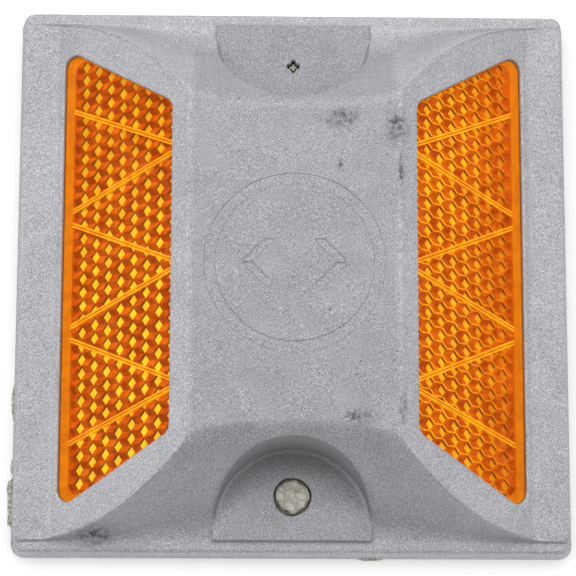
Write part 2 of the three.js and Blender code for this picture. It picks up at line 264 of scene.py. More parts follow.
class Join(Enum):
    """The ways in which one solid works on another."""

    ADD = "UNION"
    CUT = "DIFFERENCE"
    KEEP = "INTERSECT"


def work(body: bpy.types.Object, how: Join, tools: list[Solid], slot: int = 0) -> None:
    """Adds, cuts or keeps solids on an object, one after the other, and applies the result.

    Args:
        body: the object that changes.
        how: what each solid does to it.
        tools: the solids, which leave nothing behind.
        slot: the finish of the faces that come from a solid with no slots of its own.
    """
    for tool in tools:
        slots = np.full(len(tool.faces), slot) if tool.slots is None else tool.slots
        helper = Solid(tool.verts, tool.faces, slots).object("tool")
        for material in body.data.materials:
            helper.data.materials.append(material)
        step = body.modifiers.new("step", "BOOLEAN")
        step.solver = "MANIFOLD"
        step.operation = how.value
        step.object = helper
        evaluated = body.evaluated_get(bpy.context.evaluated_depsgraph_get())
        worked = bpy.data.meshes.new_from_object(evaluated)
        body.modifiers.clear()
        old, body.data = body.data, worked
        bpy.data.meshes.remove(old)
        bpy.data.meshes.remove(helper.data)
    body.data.name = body.name


def solid_of(body: bpy.types.Object) -> Solid:
    """The solid of an object, which it removes, so that the solid can work on another object."""
    mesh = body.data
    count = len(mesh.polygons)
    starts, slots = np.empty(count, np.int32), np.empty(count, np.int32)
    corners = np.empty(len(mesh.loops), np.int32)
    mesh.polygons.foreach_get("loop_start", starts)
    mesh.polygons.foreach_get("material_index", slots)
    mesh.loops.foreach_get("vertex_index", corners)
    faces = [part.tolist() for part in np.split(corners, starts[1:])]
    made = Solid(vertex_places(body), faces, slots)
    bpy.data.meshes.remove(mesh)
    return made


def shade(body: bpy.types.Object, sharp_angle: float, flat_area: float = 1e9) -> None:
    """Smooth shading, but for sharp edges and the edges of large flat faces.

    Args:
        body: the object.
        sharp_angle: bend in degrees past which an edge is sharp.
        flat_area: faces larger than this, in square millimetres, are shaded flat.
    """
    mesh = body.data
    count = len(mesh.polygons)
    mesh.polygons.foreach_set("use_smooth", np.ones(count, bool))
    mesh.set_sharp_from_angle(angle=math.radians(sharp_angle))
    area, total = np.empty(count, np.float32), np.empty(count, np.int32)
    edge, sharp = np.empty(len(mesh.loops), np.int32), np.empty(len(mesh.edges), bool)
    mesh.polygons.foreach_get("area", area)
    mesh.polygons.foreach_get("loop_total", total)
    mesh.loops.foreach_get("edge_index", edge)
    mesh.edges.foreach_get("use_edge_sharp", sharp)
    sharp[edge[np.repeat(area > flat_area * MM * MM, total)]] = True
    mesh.edges.foreach_set("use_edge_sharp", sharp)


def vertex_places(body: bpy.types.Object) -> np.ndarray:
    """The vertices of an object in millimetres."""
    found = np.empty(len(body.data.vertices) * 3, np.float32)
    body.data.vertices.foreach_get("co", found)
    return found.reshape(-1, 3).astype(float) / MM


def set_attribute(body: bpy.types.Object, name: str, values: np.ndarray) -> None:
    """Gives each vertex of an object one number, for its material."""
    layer = body.data.attributes.new(name, "FLOAT", "POINT")
    layer.data.foreach_set("value", values.astype(np.float32))


# ---- shader maths ---------------------------------------------------------------------------------
class Tree:
    """A material's node tree, with one method for placing nodes."""

    def __init__(self, name: str) -> None:
        """Starts an empty surface material.

        Args:
            name: of the material.
        """
        self.material = bpy.data.materials.new(name)
        self.material.use_nodes = True
        self.nodes = self.material.node_tree.nodes
        self.links = self.material.node_tree.links
        self.nodes.clear()
        self.output = self.nodes.new("ShaderNodeOutputMaterial")

    def node(self, kind: str, settings: dict | None = None, **inputs: object) -> bpy.types.Node:
        """Places a node.

        Args:
            kind: its type, without the words ShaderNode in front.
            settings: values of its own properties, set first.
            inputs: values or sockets for its inputs, by name with underscores for spaces.

        Returns:
            The node.
        """
        made = self.nodes.new("ShaderNode" + kind)
        for key, value in (settings or {}).items():
            setattr(made, key, value)
        for key, value in inputs.items():
            self.feed(made.inputs[key.replace("_", " ")], value)
        return made

    def feed(self, socket: bpy.types.NodeSocket, value: object) -> None:
        """Links a socket to an input, or sets the input's own value."""
        if isinstance(value, Value):
            self.links.new(value.socket, socket)
        elif isinstance(value, bpy.types.NodeSocket):
            self.links.new(value, socket)
        else:
            socket.default_value = value

    def value(self, node: bpy.types.Node, output: str | int = 0) -> "Value":
        """One output of a node, ready for arithmetic."""
        return Value(self, node.outputs[output])

    def place(self) -> bpy.types.NodeSocket:
        """The place on the object, in metres."""
        return self.node("TexCoord").outputs["Object"]

    def noise(self, size: float, detail: float = 2.0, rough: float = 0.5, seed: float = 0.0) -> "Value":
        """Random mottling between 0 and 1.

        Args:
            size: of a blotch, in millimetres.
            detail: how many finer layers it has.
            rough: how strong these are.
            seed: where the pattern starts.

        Returns:
            The mottling's value.
        """
        settings = {"noise_dimensions": "4D"}
        inputs = {"Vector": self.place(), "W": seed, "Scale": 1 / (size * MM), "Detail": detail}
        return self.value(self.node("TexNoise", settings, Roughness=rough, **inputs), "Fac")

    def cells(self, size: float, feature: str = "F1", spread: float = 1.0) -> bpy.types.Node:
        """A pattern of random cells, each about size millimetres wide."""
        settings = {"feature": feature}
        inputs = {"Vector": self.place(), "Scale": 1 / (size * MM), "Randomness": spread}
        return self.node("TexVoronoi", settings, **inputs)

    def attribute(self, name: str) -> "Value":
        """A number that the vertices carry."""
        return self.value(self.node("Attribute", {"attribute_name": name}), "Fac")

    def mix(self, share: object, low: object, high: object) -> bpy.types.NodeSocket:
        """A colour between two colours.

        Args:
            share: 0 for the first and 1 for the second.
            low: the first colour, as a tuple or a socket.
            high: the second colour.

        Returns:
            The colour's socket.
        """
        made = self.node("Mix", {"data_type": "RGBA"})
        by_kind = [entry for entry in made.inputs if entry.enabled]
        for socket, value in zip(by_kind, (share, low, high)):
            self.feed(socket, value)
        return next(entry for entry in made.outputs if entry.enabled)

    def bump(self, height: "Value", depth: float, under: object = None) -> bpy.types.NodeSocket:
        """A normal for a surface with fine relief.

        Args:
            height: the relief, between 0 and 1.
            depth: its full depth in millimetres.
            under: another relief's normal that this one lies on.

        Returns:
            The normal's socket.
        """
        made = self.node("Bump", Height=height, Distance=depth * MM)
        if under is not None:
            self.feed(made.inputs["Normal"], under)
        return made.outputs["Normal"]

    def surface(self, **inputs: object) -> bpy.types.Node:
        """Ends the material in one Principled surface with the given inputs."""
        made = self.node("BsdfPrincipled", None, **inputs)
        self.links.new(made.outputs["BSDF"], self.output.inputs["Surface"])
        return made


@dataclass
class Value:
    """A number in a node tree that can be added, multiplied and compared."""

    tree: Tree
    socket: bpy.types.NodeSocket

    def math(self, operation: str, *others: object) -> "Value":
        """The result of one Math node with this value first."""
        made = self.tree.node("Math", {"operation": operation})
        for socket, value in zip(made.inputs, (self, *others)):
            self.tree.feed(socket, value)
        return Value(self.tree, made.outputs[0])

    def __add__(self, other: object) -> "Value":
        """This plus other."""
        return self.math("ADD", other)

    __radd__ = __add__

    def __mul__(self, other: object) -> "Value":
        """This times other."""
        return self.math("MULTIPLY", other)

    __rmul__ = __mul__

    def __sub__(self, other: object) -> "Value":
        """This less other."""
        return self.math("SUBTRACT", other)

    def __rsub__(self, other: object) -> "Value":
        """Other less this."""
        return self * -1.0 + other

    def ramp(self, low: float, high: float, start: float = 0.0, end: float = 1.0) -> "Value":
        """A smooth ramp: start where this is at low, end where it is at high."""
        settings = {"interpolation_type": "SMOOTHSTEP"}
        inputs = {"From_Min": low, "From_Max": high, "To_Min": start, "To_Max": end}
        return self.tree.value(self.tree.node("MapRange", settings, Value=self, **inputs))


# ---- the stud's measures --------------------------------------------------------------------------
@dataclass(frozen=True)
class StudShape:
    """Sizes of the casting in millimetres and angles in radians, with the heights of its faces."""

    half: float = 50.0
    height: float = 20.0
    corner_radius: float = 2.5
    wall_draft: float = 0.7
    border_height: float = 4.75
    border_width: float = 7.0
    toe_height: float = 4.2
    face_angle: float = math.radians(32)
    hip_start: float = 27.5
    hip_edge_land: float = 1.1
    hip_power: float = 1.7
    brow_start: float = 27.5
    brow_rise: float = 18.0
    brow_spread: float = 31.8
    brow_power: float = 3.4
    toe_land: float = 2.5
    hollow_power: float = 0.9
    pocket_inset: float = 5.0
    pocket_radius: float = 13.9
    pocket_flare: float = 1.1
    pocket_rise: float = 15.8
    pocket_floor: float = 5.2
    pocket_front_inset: float = 2.8
    hole_inset: float = 10.6
    unevenness: float = 0.035
    plateau_bend: float = 0.4
    foot_bend: float = 0.35
    hip_rounding: float = 0.7
    bead_height: float = 0.3
    bead_width: float = 0.8
    ridge_height: float = 0.12
    ridge_width: float = 0.55

    @property
    def slope(self) -> float:
        """How far a reflector face falls for each millimetre outwards."""
        return math.tan(self.face_angle)

    @property
    def face_end(self) -> float:
        """Distance of a reflector face's foot from the Y axis."""
        return self.half - self.border_width

    @property
    def plateau_half(self) -> float:
        """Half the plateau's length along X."""
        return self.face_end - (self.height - self.border_height) / self.slope

    @property
    def pocket_lean(self) -> float:
        """How far a pocket's wall leans out for each millimetre upwards."""
        return self.pocket_flare / self.pocket_rise

    @property
    def pocket_front(self) -> float:
        """Distance of the step in front of a pocket's floor from the X axis."""
        return self.half - self.pocket_front_inset

    @property
    def pocket_centre(self) -> float:
        """Distance of a pocket's middle from the X axis."""
        return self.half - self.pocket_inset

    def hip(self, x: np.ndarray) -> np.ndarray:
        """Distance of the hip from the X axis: a quarter of a superellipse beyond the plateau's edge."""
        start = self.plateau_half
        along = np.clip((np.abs(x) - start) / (self.half - start), 0, 1)
        rise = (1 - (1 - along) ** self.hip_power) ** (1 / self.hip_power)
        return self.hip_start + (self.half - self.hip_edge_land - self.hip_start) * rise

    def face(self, x: np.ndarray) -> np.ndarray:
        """Height of the plateau, a reflector face and the border, with the bends between them eased.

        Args:
            x: places along the stud.

        Returns:
            The plateau's height, less the slope beyond its edge, and never under the border's.
        """
        fallen = self.height - self.slope * eased(np.abs(x) - self.plateau_half, self.plateau_bend)
        return self.border_height + eased(fallen - self.border_height, self.foot_bend)

    def brow(self, x: np.ndarray) -> np.ndarray:
        """Distance from the X axis at which the hollow starts: a + b (1 - exp(-(x / c)^p))."""
        along = np.abs(x) / self.brow_spread
        return self.brow_start + self.brow_rise * (1 - np.exp(-(along**self.brow_power)))

    def hollow(self, x: np.ndarray, y: np.ndarray) -> np.ndarray:
        """Height of the hollow that falls from the brow to the toe in an S-curve.

        Args:
            x: places along the stud.
            y: places across it.

        Returns:
            The heights.
        """
        brow = self.brow(x)
        share = np.clip((np.abs(y) - brow) / (self.half - self.toe_land - brow), 0, 1)
        fall = smoothstep(share**self.hollow_power, 0.0, 1.0)
        return self.height * (1 - fall) + self.toe_height * fall

    def fallen(self, x: np.ndarray, y: np.ndarray) -> np.ndarray:
        """The lower of the face and the hollow, with the hip between them rounded."""
        bent = smoothstep(np.abs(x), self.plateau_half - 0.5, self.plateau_half + 4)
        reach = 0.02 + self.hip_rounding * bent
        hollow = self.hollow(x, y)
        return hollow - eased(hollow - self.face(x), reach)

    def surface(self, x: np.ndarray, y: np.ndarray) -> np.ndarray:
        """Height of the whole upper surface, with its beads and the slight unevenness of a casting.

        Args:
            x: places along the stud.
            y: places across it.

        Returns:
            The heights.
        """
        over = self.hollow(x, y) - self.face(x)
        faced = smoothstep(np.abs(x), self.plateau_half + 0.5, self.plateau_half + 4)
        faced = faced * smoothstep(np.abs(x), 47.0, 42.0)
        bead = self.bead_height * faced * np.exp(-(((over - 0.2) / self.bead_width) ** 2))
        ridge_place = np.abs(x) - self.plateau_half - 0.2
        ridge = self.ridge_height * np.exp(-((ridge_place / self.ridge_width) ** 2))
        ridge = ridge * smoothstep(np.abs(y) - self.brow(x), 0.5, -1.5)
        rough = self.unevenness * (waves(x, y, 16, 3) + 0.6 * waves(x, y, 5, 4))
        return self.fallen(x, y) + bead + ridge + rough

    def ring(self, inset: float, arc: int = 8, run: int = 90) -> np.ndarray:
        """The base's outline moved in, with its straight sides divided as well.

        Args:
            inset: how far.
            arc: chords in each corner.
            run: divisions of each side.

        Returns:
            The points, anticlockwise, with the same count for every inset.
        """
        half = self.half - inset
        corners = rectangle(half, half, max(0.1, self.corner_radius - inset)).points(arc)
        corners = corners.reshape(4, arc + 1, 2)
        share = np.linspace(0, 1, run, endpoint=False)[1:, None]
        ahead = np.roll(corners, -1, axis=0)
        parts = [np.concatenate([a, a[-1] + share * (b[0] - a[-1])]) for a, b in zip(corners, ahead)]
        return np.concatenate(parts)


def eased(value: np.ndarray, reach: float) -> np.ndarray:
    """The larger of 0 and the value, with a parabola through the bend: (v + r)^2 / 4r within the reach."""
    bend = np.clip(value + reach, 0, None) ** 2 / (4 * reach)
    return np.where(value > reach, value, bend)


@dataclass(frozen=True)
class LensShape:
    """Sizes of a reflector lens in its tilted frame, where X runs down the slope and Z out of it."""

    stud: StudShape
    top_gap: float = 3.77
    bottom_gap: float = 1.54
    inner_margin: float = 5.7
    outer_margin: float = 5.5
    corner_radius: float = 2.2
    recess: float = 0.5
    flange_width: float = 1.2
    flange_width_outer: float = 2.4
    clear_width: float = 0.14
    clear_width_outer: float = 1.9
    depth: float = 2.6
    seat_depth: float = 2.45
    opening_depth: float = 4.5
    gap: float = 0.03

    def reach(self) -> tuple[float, float]:
        """The distances from the Y axis at which the lens starts and ends."""
        cosine = math.cos(self.stud.face_angle)
        start = self.stud.plateau_half + self.top_gap * cosine
        return start, self.stud.face_end - self.bottom_gap * cosine

    def outline(self, inset: float = 0.0, outer_inset: float | None = None) -> Outline:
        """The lens's outline moved in.

        Args:
            inset: at three sides.
            outer_inset: at the side near the border, where it differs.

        Returns:
            The outline, around the middle of the lens.
        """
        start, end = self.reach()
        half = (end - start) / math.cos(self.stud.face_angle) / 2
        inner = float(self.stud.hip(np.array(start))) - self.inner_margin
        outer = float(self.stud.hip(np.array(end))) - self.outer_margin
        corners = np.array([[-half, -inner], [half, -outer], [half, outer], [-half, inner]])
        last = inset if outer_inset is None else outer_inset
        return Outline(corners, self.corner_radius).inset([inset, last, inset, inset])

    def field(self, extra: float = 0.0) -> Outline:
        """The outline of the cells that show through the front, moved in by extra."""
        return self.outline(self.clear_width + extra, self.clear_width_outer + extra)

    def frame(self, side: Side) -> np.ndarray:
        """The matrix from the tilted frame to the stud's, with the lens front at Z = 0."""
        angle = self.stud.face_angle
        start, end = self.reach()
        middle = (start + end) / 2
        drop = self.stud.slope * (middle - self.stud.plateau_half)
        place = Vector((middle, 0, self.stud.height - drop))
        place -= Vector((math.sin(angle), 0, math.cos(angle))) * self.recess
        turn = Matrix.Rotation(0 if side is Side.EAST else math.pi, 4, "Z")
        return np.array(turn @ Matrix.Translation(place) @ Matrix.Rotation(angle, 4, "Y"))


# ---- finishes -------------------------------------------------------------------------------------
@dataclass(frozen=True)
class CastMetal:
    """Blasted cast aluminium: grey, grainy, with dull and bright specks, pits and scuffs."""

    dark: tuple = (0.28, 0.28, 0.297, 1)
    light: tuple = (0.61, 0.61, 0.645, 1)
    glint: tuple = (0.95, 0.95, 0.98, 1)
    # Dark colour for pits, scuffs, smudges, dull metal and painted shade
    soot_and_shade: tuple = (0.08, 0.08, 0.082, 1)
    grain: float = 0.21

    def make(self) -> bpy.types.Material:
        """The material. The attribute of dullness and painted shade, and that of smudges and painted wall
        shade, darken it.
        """
        tree = Tree("cast_aluminium")
        grain = tree.noise(self.grain, 2.0, 0.6)
        patches = tree.noise(7.0, 3.0, 0.55, 4.0)
        tone = grain.ramp(0.36, 0.64) * 0.86 + patches.ramp(0.3, 0.7) * 0.14
        colour = tree.mix(tone, self.dark, self.light)
        specks = tree.noise(0.24, 1.0, 0.5, 9.0).ramp(0.62, 0.72)
        colour = tree.mix(specks * 0.7, colour, self.glint)
        smudges_and_wall_shade = tree.attribute("smudges_and_wall_shade")
        mottle = tree.noise(0.9, 4.0, 0.7, 33.0).ramp(0.42, 0.6)
        pits = tree.noise(0.6, 2.0, 0.6, 14.0).ramp(0.3, 0.22)
        scuffs = tree.noise(3.2, 5.0, 0.75, 21.0).ramp(0.7, 0.8)
        # Painted shade comes in through the two attributes, towards the same dark colour as pits and scuffs
        shade_share = tree.attribute("dullness_and_shade") * 0.12 + pits * 0.6 + scuffs * 0.35 + smudges_and_wall_shade * mottle * 0.85
        colour = tree.mix(shade_share.math("MINIMUM", 0.85), colour, self.soot_and_shade)
        rough = 0.48 + grain * 0.22 + smudges_and_wall_shade * 0.2
        relief = tree.bump(grain, 0.045)
        relief = tree.bump(pits * -1.0 + 1.0, 0.1, relief)
        relief = tree.bump(patches, 0.06, relief)
        tree.surface(Base_Color=colour, Metallic=0.9, Roughness=rough, Normal=relief)
        return tree.material


@dataclass(frozen=True)
class Amber:
    """Amber of one facet kind, painted with the prisms' reflections and shade, mottled a little between two
    tones.
    """

    name: str
    deep: tuple
    light: tuple
    # Painted highlight: an axis and two places between which the light colour comes in
    highlight_fade: tuple = ()
    rough: float = 0.5
    # Painted light: how strongly the facet gives off light of its own colour
    painted_glow: float = 0.16

    def make(self) -> bpy.types.Material:
        """The material, with painted emission. Given an axis and two places, a painted highlight comes in
        between them.
        """
        tree = Tree(self.name)
        share = tree.noise(1.7, 2.0, 0.5, 3.0).ramp(0.34, 0.66)
        if self.highlight_fade:
            axis, start, end = self.highlight_fade
            place = tree.value(tree.node("SeparateXYZ", None, Vector=tree.place()), axis)
            if axis == "X":
                place = place.math("ABSOLUTE")
            share = share * 0.35 + place.ramp(start * MM, end * MM) * 0.65
        colour = tree.mix(share, self.deep, self.light)
        ripple = tree.bump(tree.noise(0.5, 1.0, 0.5, 6.0), 0.015)
        # The emission is painted light of the facet's own colour
        tree.surface(
            Base_Color=colour,
            Roughness=self.rough,
            Normal=ripple,
            Specular_IOR_Level=0.0,
            Emission_Color=colour,
            Emission_Strength=self.painted_glow,
        )
        return tree.material


@dataclass(frozen=True)
class ClearFront:
    """The polished front of a lens: clear, faintly amber, with a sharp gloss."""

    tint: tuple = (1.0, 0.97, 0.86, 1)
    gloss_ior: float = 1.11

    def make(self) -> bpy.types.Material:
        """The material: mirror gloss over clear plastic, by the plastic's own reflectance."""
        tree = Tree("lens_front")
        ripple = tree.bump(tree.noise(4.0, 2.0, 0.5), 0.01)
        gloss = tree.node("BsdfGlossy", {"distribution": "GGX"}, Roughness=0.06, Normal=ripple)
        clear = tree.node("BsdfTransparent", None, Color=self.tint)
        share = tree.node("Fresnel", None, IOR=self.gloss_ior, Normal=ripple)
        mixed = tree.node("MixShader", None)
        tree.links.new(share.outputs[0], mixed.inputs[0])
        tree.links.new(clear.outputs[0], mixed.inputs[1])
        tree.links.new(gloss.outputs[0], mixed.inputs[2])
        tree.links.new(mixed.outputs[0], tree.output.inputs["Surface"])
        return tree.material


@dataclass(frozen=True)
class Potting:
    """Resin and sand filler: cream where it is resin and speckled tan where sand shows."""

    cream: tuple = (0.56, 0.55, 0.48, 1)
    sand: tuple = (0.36, 0.31, 0.22, 1)
    pale: tuple = (0.4, 0.385, 0.33, 1)
    dark: tuple = (0.15, 0.14, 0.085, 1)

    def make(self) -> bpy.types.Material:
        """The material. The attribute resin is 1 on resin and 0 on the sandy mass."""
        tree = Tree("resin_and_sand")
        speck = tree.value(tree.cells(0.55), "Distance").ramp(0.1, 0.6)
        sandy = tree.mix(speck, self.sand, self.cream)
        sandy = tree.mix(tree.noise(0.9, 3.0, 0.6, 5.0).ramp(0.62, 0.72) * 0.6, sandy, self.dark)
        resin = tree.attribute("resin")
        cloud = tree.noise(1.1, 3.0, 0.6, 2.0)
        crack = tree.value(tree.cells(1.5, "DISTANCE_TO_EDGE"), "Distance").ramp(0.12, 0.01)
        milky = tree.mix(cloud.ramp(0.36, 0.64), self.pale, self.cream)
        milky = tree.mix(crack * 0.4, milky, self.sand)
        colour = tree.mix(resin, sandy, milky)
        colour = tree.mix(tree.attribute("stain"), colour, self.dark)
        rough = 0.85 - resin * 0.5 + cloud * 0.1
        relief = tree.bump(speck * (1.0 - resin) + cloud * 0.4 - crack * 0.5, 0.25)
        tree.surface(Base_Color=colour, Roughness=rough, Normal=relief, Specular_IOR_Level=0.4)
        return tree.material


@dataclass(frozen=True)
class Plain:
    """A mottled matt finish for the hidden plates and glue beads."""

    name: str
    deep: tuple
    light: tuple
    rough: float

    def make(self) -> bpy.types.Material:
        """The material."""
        tree = Tree(self.name)
        cloud = tree.noise(1.2, 3.0, 0.6, 8.0)
        colour = tree.mix(cloud.ramp(0.3, 0.7), self.deep, self.light)
        tree.surface(Base_Color=colour, Roughness=cloud * 0.15 + self.rough, Normal=tree.bump(cloud, 0.08))
        return tree.material


def dress(body: bpy.types.Object, materials: list[bpy.types.Material]) -> None:
    """Gives an object its materials, in the order of its faces' slots."""
    if body.data.materials:
        body.data.materials.clear()
    for material in materials:
        body.data.materials.append(material)


def hand_over(body: bpy.types.Object, slot: str, *nodes: str) -> None:
    """Lets an object ride on the stud, and hides the imported solids that it stands for."""
    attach(body, "root")
    for node in nodes:
        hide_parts(node)
    LOG.info("%s: %d faces", body.name, len(body.data.polygons))


# ---- the casting ----------------------------------------------------------------------------------
def turned(profile: np.ndarray, sides: int = 160) -> Solid:
    """A ring-shaped solid: a closed profile of (radius, height), anticlockwise, turned about Z."""
    size = len(profile)
    angle = np.arange(sides) * math.tau / sides
    ring = profile[None, :, 0]
    x, y = ring * np.cos(angle)[:, None], ring * np.sin(angle)[:, None]
    z = np.broadcast_to(profile[None, :, 1], x.shape)
    at = np.arange(sides * size).reshape(sides, size)
    after, up = np.roll(at, -1, axis=0), np.roll(at, -1, axis=1)
    faces = np.stack([at, after, np.roll(after, -1, axis=1), up], axis=-1).reshape(-1, 4)
    return Solid(np.stack([x, y, z], axis=-1).reshape(-1, 3), faces.tolist())


def at_height(points: np.ndarray, z: float | np.ndarray) -> np.ndarray:
    """Plan points with a height, or one height each."""
    return np.column_stack([points, np.broadcast_to(z, len(points))])


def opening(outline: Outline, low: float, face: float, high: float, rounding: float) -> Solid:
    """A cutter for a straight-walled opening whose rim is rounded over where it meets a flat face.

    Its profile goes up the wall, round a quarter circle outwards, and on up beyond the face.

    Args:
        outline: the opening in plan.
        low: its bottom.
        face: the height of the face that it opens in.
        high: where the cutter ends.
        rounding: radius at the rim.

    Returns:
        The cutter.
    """
    count = len(outline.corners)
    turns = np.radians([0, 20, 40, 60, 78])
    rings = [at_height(outline.points(), low)]
    for turn in turns:
        out = -rounding * (1 - math.cos(turn))
        z = face - rounding * (1 - math.sin(turn))
        rings.append(at_height(outline.inset([out] * count).points(), z))
    wide = outline.inset([-rounding - 0.35] * count).points()
    rings.append(at_height(wide, face + 0.12))
    rings.append(at_height(wide, high))
    return loft(rings)


@dataclass(frozen=True)
class Smudge:
    """A dark smudge on the casting: its middle, and how far it spreads, in millimetres."""

    x: float
    y: float
    wide: float
    tall: float

    def strength(self, x: np.ndarray, y: np.ndarray) -> np.ndarray:
        """How dark it is: exp(-(dx / wide)^2 - (dy / tall)^2).

        Args:
            x: places along the stud.
            y: places across it.

        Returns:
            1 at its middle, falling to 0 around it.
        """
        return np.exp(-(((x - self.x) / self.wide) ** 2) - ((y - self.y) / self.tall) ** 2)


SMUDGES = (
    Smudge(7.8, 25.9, 2.8, 1.3),
    Smudge(18.0, 24.4, 1.7, 2.8),
    Smudge(18.6, 16.2, 0.45, 3.0),
    Smudge(8.0, 17.4, 0.4, 0.8),
    Smudge(18.7, -26.0, 0.6, 2.8),
    Smudge(11.0, -27.0, 2.2, 1.1),
    Smudge(-35.0, -46.5, 3.0, 1.5),
)
CLEAR_ABOVE = 26.0  # a height above the whole stud, where its cutters end


@dataclass
class Casting:
    """The hollow cast body with its pockets, sunk ring, windows and filling holes."""

    stud: StudShape
    lens: LensShape
    metal: CastMetal = field(default_factory=CastMetal)
    wall: float = 3.0
    face_wall: float = 5.2
    pocket_wall: float = 2.4
    rim_x: float = 10.0
    rim_y: float = 6.0
    pour_radius: float = 3.3
    vent_radius: float = 1.12
    edge_rounding: float = 0.6
    pocket_rounding: float = 0.9
    pocket_sides: int = 144
    ring_inner: float = 13.85
    ring_outer: float = 15.9
    ring_depth: float = 0.13
    arrow_tip: float = 9.5
    arrow_half: float = 4.2
    arrow_stroke: float = 2.2

    def block(self) -> Solid:
        """The upper surface over a flat bottom. Its rows follow the brow, and its columns stand still."""
        stud = self.stud
        edge, foot = stud.plateau_half, stud.face_end
        marks = [0.0, edge - 0.9, edge + 1.5, foot - 0.6, foot + 0.6, 48.6, 50.6]
        xs = mirrored(stations(marks, [0.6, 0.15, 0.35, 0.2, 0.55, 0.3]))
        brow = stud.brow(xs)
        share = stations([0, 1, 2, 3], [1 / 44, 1 / 10, 1 / 64])
        inner = np.clip(share, 0, 1)[:, None] * (brow - 1.3)
        bead = np.clip(share - 1, 0, 1)[:, None] * 2.6
        outer = np.clip(share - 2, 0, 1)[:, None] * (51.5 - brow - 1.3)
        half_y = inner + bead + outer
        y = np.concatenate([-half_y[:0:-1], half_y])
        x = np.broadcast_to(xs, y.shape)
        made = slab(xs, np.arange(len(y)), stud.surface(x, y), np.full(y.shape, -1.0))
        made.verts[:, 1] = np.tile(y.ravel(), 2)
        return made

    def envelope(self) -> Solid:
        """The room inside the leaning outer walls, with the upper edge rounded over all round."""
        stud, r = self.stud, self.edge_rounding
        rings = [at_height(stud.ring(0.12), 0.0), at_height(stud.ring(0.0), 0.15)]
        inside = stud.ring(stud.wall_draft + r)
        top = stud.surface(inside[:, 0], inside[:, 1])
        for turn in np.radians([0, 18, 36, 54, 72, 84]):
            lean = stud.wall_draft * (1 - r / stud.border_height)
            inset = lean + r * (1 - math.cos(turn)) + 0.1 * math.sin(turn)
            rings.append(at_height(stud.ring(inset), top - r * (1 - math.sin(turn))))
        inner = stud.ring(stud.wall_draft + r + 1.0)
        rings.append(at_height(inner, top + 0.3))
        rings.append(at_height(inner, CLEAR_ABOVE))
        return loft(rings)

    def pocket(self, side: int) -> Solid:
        """A pocket's cutter: floor, small fillet, leaning wall, and a rim rounded over along the scoop.

        The rim's circle of radius r touches the wall and the scooped face. Its middle is found for each
        direction round the pocket by repeated substitution.

        Args:
            side: the sign of the pocket's Y.

        Returns:
            The cutter.
        """
        stud = self.stud
        sides = self.pocket_sides
        angle = np.arange(sides) * math.tau / sides
        middle = side * stud.pocket_centre

        def height(reach: np.ndarray) -> np.ndarray:
            """Height of the stud's surface at a reach from the pocket's middle, in each direction."""
            return stud.surface(reach * np.cos(angle), middle + reach * np.sin(angle))

        def ring(reach: np.ndarray, z: np.ndarray) -> np.ndarray:
            """The points at a reach and a height in each direction."""
            return np.column_stack([reach * np.cos(angle), middle + reach * np.sin(angle), z])

        def wall(z: np.ndarray) -> np.ndarray:
            """The leaning wall's reach at a height."""
            return stud.pocket_radius + stud.pocket_lean * (z - stud.pocket_floor)

        rise = height(wall(np.full(sides, 6.0))) - stud.pocket_floor
        r = np.clip((rise - 0.1) / 1.3, 0.02, self.pocket_rounding)
        touch = wall(np.full(sides, 6.0)) + r
        for _ in range(12):
            grade = (height(touch + 0.05) - height(touch - 0.05)) / 0.1
            lean = np.arctan(grade)
            deep = height(touch) - r * np.cos(lean)
            touch = wall(deep) + r + r * -np.sin(lean)
        centre = wall(deep) + r
        corner = np.clip(rise / 2, 0.02, 0.7)
        floor = np.full(sides, stud.pocket_floor)
        rings = [ring(wall(floor) - corner * (1 - math.sin(t)), floor + corner * (1 - math.cos(t)))
                 for t in np.radians([0, 15, 30, 45, 60, 75, 90])]
        top = np.maximum(deep, floor + corner + 0.05)
        start = math.pi / 2 + lean
        for share in (0.0, 0.2, 0.4, 0.6, 0.8, 0.93):
            turn = math.pi + (start - math.pi) * share
            rings.append(ring(centre + r * np.cos(turn), top + r * np.sin(turn)))
        rings.append(ring(touch + 0.5, height(touch + 0.5) + 0.12 + (top - deep)))
        rings.append(ring(touch + 0.5, np.full(sides, CLEAR_ABOVE)))
        return loft(rings)

    def pad(self, side: int) -> Solid:
        """A pocket's floor where it stands above the toe: a disc cut off at the front, its edge rounded."""
        stud = self.stud
        disc = circle(0, side * stud.pocket_centre, 1.0, self.pocket_sides) - [0, side * stud.pocket_centre]
        rings = []
        for inset, z in ((0, 1.0), (0, 4.9), (0.08, 5.1), (0.25, 5.24), (0.55, 5.3)):
            points = disc * (stud.pocket_radius + 0.3 - inset) + [0, side * stud.pocket_centre]
            points[:, 1] = side * np.minimum(side * points[:, 1], stud.pocket_front - inset)
            rings.append(at_height(points, z))
        return loft(rings)

    def inner_height(self, x: np.ndarray, y: np.ndarray, gap: float) -> np.ndarray:
        """Height of the room under the casting, or of the filler in it, which is lower by the gap."""
        stud = self.stud
        under = np.minimum(stud.height - self.wall, stud.face(x) - self.face_wall)
        under = np.minimum(under, stud.fallen(x, y) - self.wall) - gap
        around = stud.pocket_radius + stud.pocket_flare + self.pocket_wall + gap
        in_pocket = np.hypot(x, np.abs(y) - stud.pocket_centre) < around
        return np.where(in_pocket, stud.pocket_floor - self.pocket_wall - gap, under)

    def room(self, gap: float, low: float, step: float = 0.9) -> Solid:
        """The room under the casting as a solid, or the filler where there is a gap."""
        stud = self.stud
        reach_x, reach_y = stud.half - self.rim_x - gap, stud.half - self.rim_y - gap
        xs = mirrored(stations([0, reach_x], [step]))
        ys = mirrored(stations([0, reach_y], [step]))
        x, y = np.meshgrid(xs, ys)
        return slab(xs, ys, self.inner_height(x, y, gap), np.full(x.shape, low))

